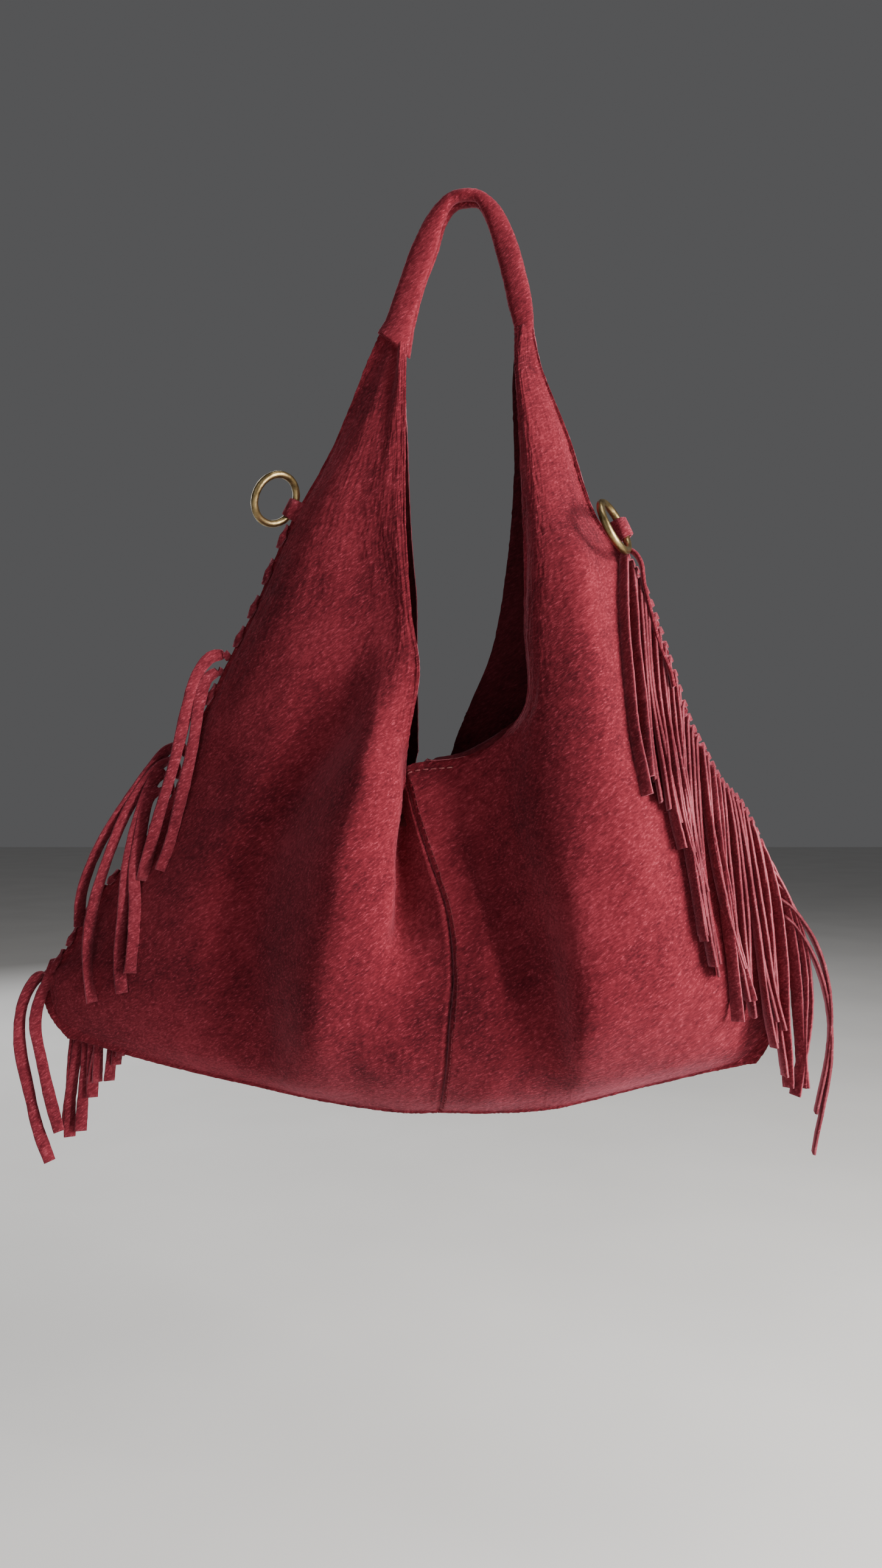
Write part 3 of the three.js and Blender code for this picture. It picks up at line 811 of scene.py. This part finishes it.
def settle(points, front, clearance):
    """Moves a hanging path out of the bag, easing each point so that the path stays smooth."""
    sign = -1 if front else 1
    points = np.array(points)
    needed = np.array([surface_depth(p[0], p[2], front) + clearance for p in points])
    depth = np.maximum(sign * points[:, 1], needed)
    for i in range(1, len(depth)):
        depth[i] = max(depth[i], depth[i - 1] - 0.35)
    kernel = np.array([1, 2, 3, 2, 1]) / 9
    padded = np.concatenate([[depth[0]] * 2, depth, [depth[-1]] * 2])
    smooth = np.convolve(padded, kernel, mode="valid")
    points[:, 1] = sign * np.maximum(smooth, needed - 0.5)
    return points


def hanging_tail(root, drift, bow, length, rng, front):
    """Centre line of a tail from its hole down: a little slack at the top, then straight down."""
    bow += rng.uniform(-1.4, 1.4)
    wave = rng.uniform(0, 2 * math.pi)
    path = []
    for i in range(TAIL_POINTS):
        t = i / (TAIL_POINTS - 1)
        a = root[0] + drift * (0.25 * t + 0.75 * t * t) + bow * math.sin(math.pi * t ** 0.8)
        a += 0.5 * t * math.sin(9 * t + wave)
        z = root[2] - length * (t ** 1.04)
        path.append((a, -3.2 if front else 3.2, z))
    return settle(path, front, TAIL_CLEARANCE)


def hanging_tails(outward, places, share, rng, front):
    """The two tails of a thong that hang free from its two holes."""
    tails = []
    for place in places:
        drift = outward * rng.uniform(*TAIL_DRIFTS[outward])
        bow = LAST_TAIL_BOW * share ** 6 if outward > 0 else 0
        length = rng.uniform(*TAIL_LENGTHS)
        tails.append(hanging_tail(seam_at(outward, place), drift, bow, length, rng, front))
    return tails


def laid_tails(number):
    """The two tails of a left thong that lie on the front of the bag."""
    return [settle(catmull_rom(points, 4), True, LAID_CLEARANCE) for points in LEFT_TAILS[number]]


def thong_path(outward, first, second, tails, front):
    """Tail, hole, crossing behind the seam, hole, tail: the way a lacing thong runs."""
    sign = -1 if front else 1
    cross = []
    for place, reach, depth in ((first, 0.3, 2.3), (first, 1.7, 0.4), (first, 0.4, -2.2),
                                (second, 0.4, -2.2), (second, 1.7, -0.4), (second, 0.3, 2.3)):
        root = seam_at(outward, place)
        d = seam_direction(outward, place)
        out = np.array([-d[2] * outward, 0, d[0] * outward])
        out = out if out[0] * outward > 0 else -out
        cross.append(root + out * reach + np.array([0, sign * depth, 0]))
    return np.vstack([tails[0][::-1], cross, tails[1]])


def thong_object(name, path, ways, rng):
    """A lacing thong: full width in its tails, pinched where it goes through the leather."""
    smooth = catmull_rom(path, 2)
    share = np.linspace(0, 1, len(ways))
    at = np.linspace(0, 1, len(smooth))
    wide = np.stack([np.interp(at, share, ways[:, k]) for k in range(3)], axis=1)
    middle = len(smooth) / 2
    taper = []
    for i in range(len(smooth)):
        pinch = 1 - 0.42 * math.exp(-((abs(i - middle) / 8) ** 4))
        taper.append(THONG_WIDTH * pinch * (1 + 0.06 * math.sin(0.35 * i) + 0.03 * rng.uniform(-1, 1)))
    points, faces = ribbon(smooth, wide, taper, THONG_THICKNESS)
    thong = make_object(name, points, faces, THONG)
    # Cut edges of the thong in the paler suede: partly their own tone, partly a painted highlight.
    thong.data.materials.append(THONG_EDGE_AND_HIGHLIGHT)
    for polygon in thong.data.polygons:
        if polygon.index >= len(faces) - 2 or polygon.index % len(RIBBON_SECTION) in RIBBON_EDGES:
            polygon.material_index = 1
    return thong


def wide_ways(count, outward, tilt, twist):
    """Wide direction along a thong: round the edge it lies along the seam, below it turns edge on."""
    middle = count / 2
    vectors = []
    for i in range(count):
        away = abs(i - middle + 0.5) / middle
        turn = tilt + twist * away
        vectors.append([math.sin(turn) * outward, -math.cos(turn), 0.0])
    vectors = np.array(vectors)
    along = np.array([0.35 * outward, 0, -0.94])
    for i in range(count):
        near = math.exp(-((abs(i - middle + 0.5) / 3.2) ** 4))
        vectors[i] = vectors[i] * (1 - near) + along * near
        vectors[i] /= np.linalg.norm(vectors[i])
    return vectors


def fringe(side, outward):
    """The lacing thongs of one side, each running from its holes at the seam into its hanging tails."""
    first, last = FRINGE_SPAN[outward]
    step = (last - first) / THONGS_PER_SIDE
    rng = random.Random(7 + outward)
    thongs = []
    for number in range(1, THONGS_PER_SIDE + 1):
        node = f"{side}_thong_{number:02d}"
        places = (first + (number - 1) * step, first + (number - 0.5) * step)
        laid = outward < 0 and number in LEFT_FRONT
        front = outward > 0 or laid
        if laid:
            tails = laid_tails(number)
            tilt = math.radians(rng.uniform(35, 62))
            twist = math.radians(rng.uniform(-30, 10))
        else:
            tails = hanging_tails(outward, places, (number - 1) / (THONGS_PER_SIDE - 1), rng, front)
            tilt = math.radians(32 + 18 * math.sin(1.3 * number + 1))
            twist = math.radians(16 * math.sin(2.1 * number))
        path = thong_path(outward, *places, tails, front)
        thong = thong_object(node + "_lace", path, wide_ways(len(path), outward, tilt, twist), rng)
        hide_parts(node)
        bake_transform(thong)
        thongs.append(thong)
    return thongs


FRINGES = {"left": fringe("left", -1), "right": fringe("right", 1)}


# ---------------------------------------------------------------- closure

def flat_frame(node):
    """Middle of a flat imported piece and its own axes: across, up and out of its face."""
    points = packed_points(node)
    middle = (points.min(axis=0) + points.max(axis=0)) / 2
    across = TURN.to_3x3() @ Vector((1, 0, 0))
    local = (points - middle) @ np.array(TURN.to_3x3())
    upper = local[local[:, 2] > local[:, 2].max() - 0.0005]
    lean = upper[:, 1].mean()
    up = Vector((0, lean, local[:, 2].max())).normalized()
    up = TURN.to_3x3() @ up
    return Vector(middle), across, up, across.cross(up)


def patch_object(side):
    """A facing of suede inside the lip, with rounded corners and a slight cup."""
    node = side + "_closure_patch"
    middle, across, up, out = flat_frame(node)
    outline = []
    for turn, (sx, sy) in enumerate(((1, 1), (-1, 1), (-1, -1), (1, -1))):
        for step in range(7):
            angle = math.radians(90 * turn + 15 * step)
            x = sx * (PATCH_WIDTH / 2 - PATCH_CORNER) + PATCH_CORNER * math.cos(angle)
            y = sy * (PATCH_HEIGHT / 2 - PATCH_CORNER) + PATCH_CORNER * math.sin(angle)
            outline.append((x, y))
    rings = []
    for scale, lift in ((0.02, -0.5), (0.5, -0.5), (0.93, -0.5), (1.0, -0.2), (1.0, 0.2), (0.93, 0.5),
                        (0.5, 0.5), (0.02, 0.5)):
        ring = []
        for x, y in outline:
            rise = lift * PATCH_THICKNESS + 0.0016 * (x * x + y * y) * scale * scale
            place = middle + (across * x * scale + up * y * scale + out * rise) * MM
            ring.append(np.array(TURN.inverted() @ place) / MM)
        rings.append(ring)
    points, faces = loft_rings(rings)
    # The patch takes the inside's darker suede: painted shade.
    patch = make_object(node + "_suede", points, faces, SHADED_INSIDE)
    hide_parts(node)
    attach(patch, "bag")


for side in ("front", "back"):
    patch_object(side)
for node in ("front_snap_washer", "back_snap_washer", "snap_stud", "snap_socket"):
    mesh = frame["nodes"][node].data
    mesh.materials.clear()
    mesh.materials.append(BRASS)


# ---------------------------------------------------------------- stitches

def stitch_row(name, line, normals, stitch, lift, thread):
    """Short raised threads along a line of points."""
    pitch, length = stitch
    steps = np.linalg.norm(np.diff(line, axis=0), axis=1)
    run = np.concatenate([[0], np.cumsum(steps)])
    points, faces = [], []
    for start in np.arange(pitch / 2, run[-1] - length, pitch):
        path = []
        for share, rise in ((0, -0.25), (0.15, 0.1), (0.5, 0.25), (0.85, 0.1), (1, -0.25)):
            at = start + share * length
            place = np.array([np.interp(at, run, line[:, k]) for k in range(3)])
            normal = np.array([np.interp(at, run, normals[:, k]) for k in range(3)])
            path.append(place + normal * (lift + rise))
        wide = [np.array([0.0, 0.0, 1.0]) + 0.3 * np.array([1.0, 0, 0])] * len(path)
        if abs(path[-1][2] - path[0][2]) > 0.7 * length:
            wide = [np.array([1.0, 0.0, 0.0])] * len(path)
        corners, sides = ribbon(path, wide, THREAD_WIDTH, THREAD_THICKNESS)
        faces += [tuple(len(points) + i for i in face) for face in sides]
        points += corners
    row = make_object(name, points, faces, thread)
    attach(row, "bag")


def offset_line(grid, front_sign, rows, distance):
    """The line on a panel at a distance from its inner edge, and the way out from the panel there."""
    normals = row_normals(grid)
    line, ways = [], []
    for i in rows:
        away = np.linalg.norm(grid[i] - grid[i, -1], axis=1)[::-1]
        j = grid.shape[1] - 1 - int(np.argmax(away > distance))
        line.append(grid[i, j])
        way = normals[i, j]
        ways.append(way if way[1] * front_sign > 0 else -way)
    return np.array(line), np.array(ways)


def lip_line(grid, rows, drop):
    """A line a little below the right front panel's lip, and the way out from the panel there."""
    line = []
    for a, _, z in grid[rows, -1]:
        hit = TREES[True][1].ray_cast(Vector((a, -200, z - drop)), Vector((0, 1, 0)))[0]
        if hit is not None:
            line.append(hit)
    return np.array(line), np.tile([0.0, -1.0, 0.0], (len(line), 1))


front_lip, back_lip = lip_row(right_front), lip_row(right_back)
front_seam = offset_line(right_front, -1, range(4, front_lip - 2), SEAM_STITCH_INSET)
back_seam = offset_line(right_back, 1, range(4, back_lip - 2), SEAM_STITCH_INSET)
lip = lip_line(right_front, range(front_lip, front_lip + LIP_STITCH_ROWS), LIP_STITCH_DROP)
stitch_row("front_seam_stitches", *front_seam, SEAM_STITCH, 0.1, SEAM_THREAD)
stitch_row("back_seam_stitches", *back_seam, SEAM_STITCH, 0.1, SEAM_THREAD)
stitch_row("lip_stitches", *lip, LIP_STITCH, 0.25, LIP_THREAD)


# ---------------------------------------------------------------- loose end of the right seam's lacing

def lace_end():
    """The lacing's loose end leaves the seam under the ring's tab and hangs down beside the fringe."""
    path = catmull_rom(LACE_END, 6)
    wide = [np.array([0.35, -0.9, 0.1])] * len(path)
    points, faces = ribbon(path, wide, LACE_END_WIDTH, THONG_THICKNESS)
    lace = make_object("right_lace_end", points, faces, THONG)
    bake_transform(lace)
    return lace


FRINGES["right"].append(lace_end())
for thong in FRINGES["left"] + FRINGES["right"]:
    nap_relief(thong, 0.12, 0.9)
for tab in tabs:
    nap_relief(tab, 0.15, 0.9)


# ---------------------------------------------------------------- sheets, nap relief and baking


LEFT_CUT = (0.275, 0.400)  # the rectangle that a left panel is cut from, in metres
RIGHT_CUT = (0.220, 0.400)
SHEETS = {
    "front_left_panel": (left_front, LEFT_CUT, FRINGES["left"]),
    "front_right_panel": (right_front, RIGHT_CUT, FRINGES["right"]),
    "back_left_panel": (left_back, LEFT_CUT, []),
    "back_right_panel": (right_back, RIGHT_CUT, []),
}
for node, (grid, flat, thongs) in SHEETS.items():
    nap_relief(PANELS[node], 0.28, 1.1)
nap_relief(handle, 0.2, 1.1)

for node, piece in (*PANELS.items(), ("handle_strap", handle)):
    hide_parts(node)
    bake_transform(piece)
